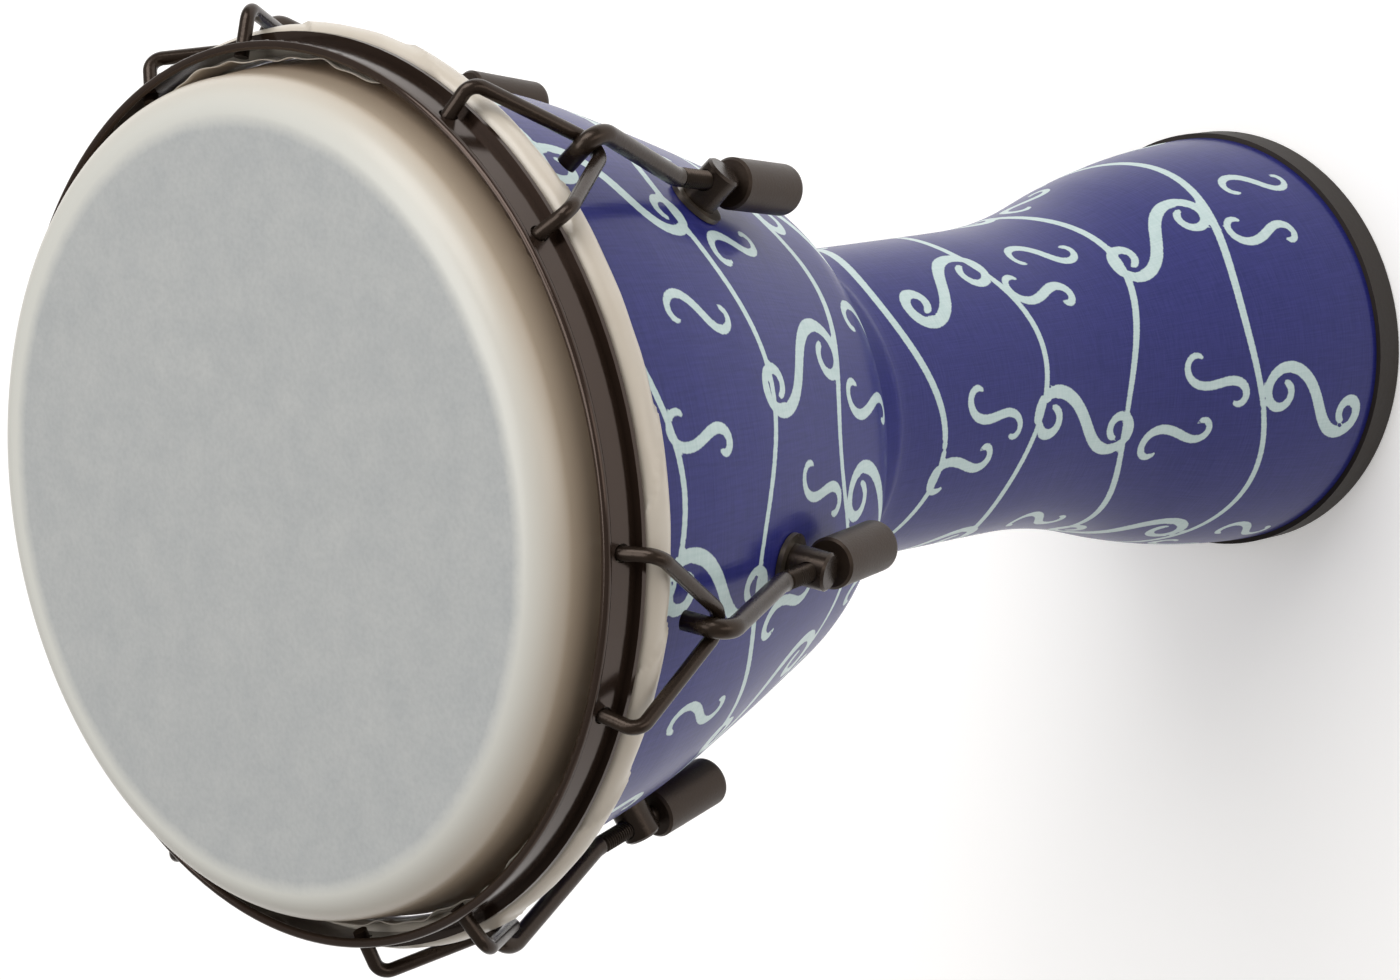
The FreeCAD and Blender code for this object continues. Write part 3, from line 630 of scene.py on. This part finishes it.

# ---- Claws --------------------------------------------------------------------------------------
# Each claw is one length of round wire bent into a V, with its two tips turned in through the holes
# of the counterhoop. It is blacked all over, a little unevenly, to a warm black, and the warm tint of
# its reflections is painted warm reflection.

LUGS = 6
# WARM_GLINT tints the reflections of the blacked steel parts warm: painted warm reflection.
WARM_GLINT = (1.0, 0.80, 0.68, 1)
wire_black = finish(
    "wire_black", (0.018, 0.012, 0.009), 0.25, Specular_IOR_Level=0.42, Specular_Tint=WARM_GLINT
)
mottled(wire_black, (0.006, 0.004, 0.003), (0.020, 0.013, 0.009), 90, rough=(0.16, 0.34), bump=0.3, fine=900)
for n in range(1, LUGS + 1):
    dress(f"claw_{n}", wire_black)

# ---- Tuning rods --------------------------------------------------------------------------------
# Each rod is steel wire with a hook bent at its top. The straight run through the post is rolled
# with an M6 thread as far as the crank, and the nut pulls on that thread from below.

THREAD_PITCH = 1.0 * MM
THREAD_RUN = (-0.5 * MM, 17.2 * MM)
THREAD_ROOT = 2.46 * MM
THREAD_RUNOUT = (0.4 * MM, 0.9 * MM)
STEPS_PER_TURN = 22
ROD_LEAN = math.radians(12)
CROSSING = Vector((119.782 * MM, 0, 356.873 * MM))
ROD_LINE = Vector((math.sin(ROD_LEAN), 0, math.cos(ROD_LEAN)))
ACROSS_ROD = Vector((0, 1, 0))


def along_rod(point):
    return (Vector(point) - CROSSING).dot(ROD_LINE)


def threaded_rod(lug):
    """The CAD rod with its thread cut: the run is waisted to the root, and a ridge wound round it."""
    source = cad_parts["tuning_rod_1"].data
    bm = bmesh.new()
    bm.from_mesh(source)
    bmesh.ops.remove_doubles(bm, verts=bm.verts, dist=WELD)
    first, last = THREAD_RUN
    for at in (first - THREAD_RUNOUT[0], first, last, last + THREAD_RUNOUT[1]):
        everything = bm.verts[:] + bm.edges[:] + bm.faces[:]
        bmesh.ops.bisect_plane(bm, geom=everything, plane_co=CROSSING + ROD_LINE * at, plane_no=ROD_LINE)
    for vert in bm.verts:
        at = along_rod(vert.co)
        if first - WELD < at < last + WELD:
            centre = CROSSING + ROD_LINE * at
            vert.co = centre + (vert.co - centre).normalized() * THREAD_ROOT
    start = CROSSING + ROD_LINE * first
    half = THREAD_PITCH / 2
    profile = [(-0.84, -0.06), (-0.10, 0.54), (0.10, 0.54), (0.84, -0.06)]
    ridge = [
        bm.verts.new(start + ROD_LINE * half * x + ACROSS_ROD * (THREAD_ROOT + y * MM)) for x, y in profile
    ]
    edges = [bm.edges.new((a, b)) for a, b in zip(ridge, ridge[1:] + ridge[:1])]
    turns = (last - first) / THREAD_PITCH
    made = bmesh.ops.spin(
        bm, geom=ridge + edges, cent=CROSSING, axis=ROD_LINE, dvec=ROD_LINE * (THREAD_PITCH / STEPS_PER_TURN),
        angle=math.tau * turns, steps=round(turns * STEPS_PER_TURN),
    )
    far_end = [g for g in made["geom_last"] if isinstance(g, bmesh.types.BMVert)]
    bmesh.ops.contextual_create(bm, geom=ridge)
    bmesh.ops.contextual_create(bm, geom=far_end)
    bmesh.ops.recalc_face_normals(bm, faces=bm.faces)
    turn = Matrix.Rotation(math.tau / LUGS * (lug - 1), 3, "Z")
    bmesh.ops.rotate(bm, verts=bm.verts, cent=(0, 0, 0), matrix=turn)
    for f in bm.faces:
        f.smooth = True
    mesh = bpy.data.meshes.new(f"threaded_rod_{lug}")
    bm.to_mesh(mesh)
    bm.free()
    mesh.set_sharp_from_angle(angle=math.radians(38))
    piece = bpy.data.objects.new(f"threaded_rod_{lug}", mesh)
    bpy.context.scene.collection.objects.link(piece)
    return piece


rod_black = finish(
    "rod_black", (0.022, 0.015, 0.011), 0.3, Specular_IOR_Level=0.42, Specular_Tint=WARM_GLINT
)
mottled(rod_black, (0.006, 0.004, 0.003), (0.022, 0.015, 0.010), 80, rough=(0.18, 0.38), bump=0.35, fine=800)
for n in range(1, LUGS + 1):
    rod = threaded_rod(n)
    rod.data.materials.append(rod_black)
    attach(rod, f"rod_{n}")
    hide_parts(f"tuning_rod_{n}")

# ---- Lug posts and washers ----------------------------------------------------------------------
# Each post is a blacked steel pin on a stud through the wall, cross-drilled for the rod, over a
# turned washer worn bright in patches. Inside, a plain zinc washer and a hexagon nut hold it.

post_black = finish(
    "post_black", (0.020, 0.014, 0.011), 0.26, Specular_IOR_Level=0.4, Specular_Tint=WARM_GLINT
)
mottled(
    post_black, (0.006, 0.004, 0.003), (0.020, 0.014, 0.010), 70, rough=(0.16, 0.34), bump=0.25, fine=1000
)
washer_black = finish("washer_black", (0.05, 0.04, 0.032), 0.3, Metallic=0.6)
mottled(washer_black, (0.022, 0.017, 0.013), (0.16, 0.13, 0.10), 150, rough=(0.2, 0.4), bump=0.2, fine=900)
zinc = finish("zinc", (0.52, 0.53, 0.54), 0.34, Metallic=1.0)
mottled(zinc, (0.42, 0.43, 0.44), (0.60, 0.61, 0.62), 120, rough=(0.24, 0.5), bump=0.3, fine=900)
for n in range(1, LUGS + 1):
    dress(f"lug_post_{n}", post_black)
dress("outer_washers", washer_black)
dress("inner_washers", zinc)
dress("inner_nuts", zinc)

# ---- Tuning nuts --------------------------------------------------------------------------------
# The nuts are long turned barrels with a rounded end and a hexagon socket, in satin black with a
# fine grain.

nut_black = finish(
    "nut_black", (0.026, 0.019, 0.015), 0.42, Specular_IOR_Level=0.45, Specular_Tint=WARM_GLINT
)
mottled(nut_black, (0.010, 0.006, 0.004), (0.026, 0.018, 0.013), 110, rough=(0.34, 0.52), bump=0.4, fine=1400)
for n in range(1, LUGS + 1):
    dress(f"tuning_nut_{n}", nut_black)
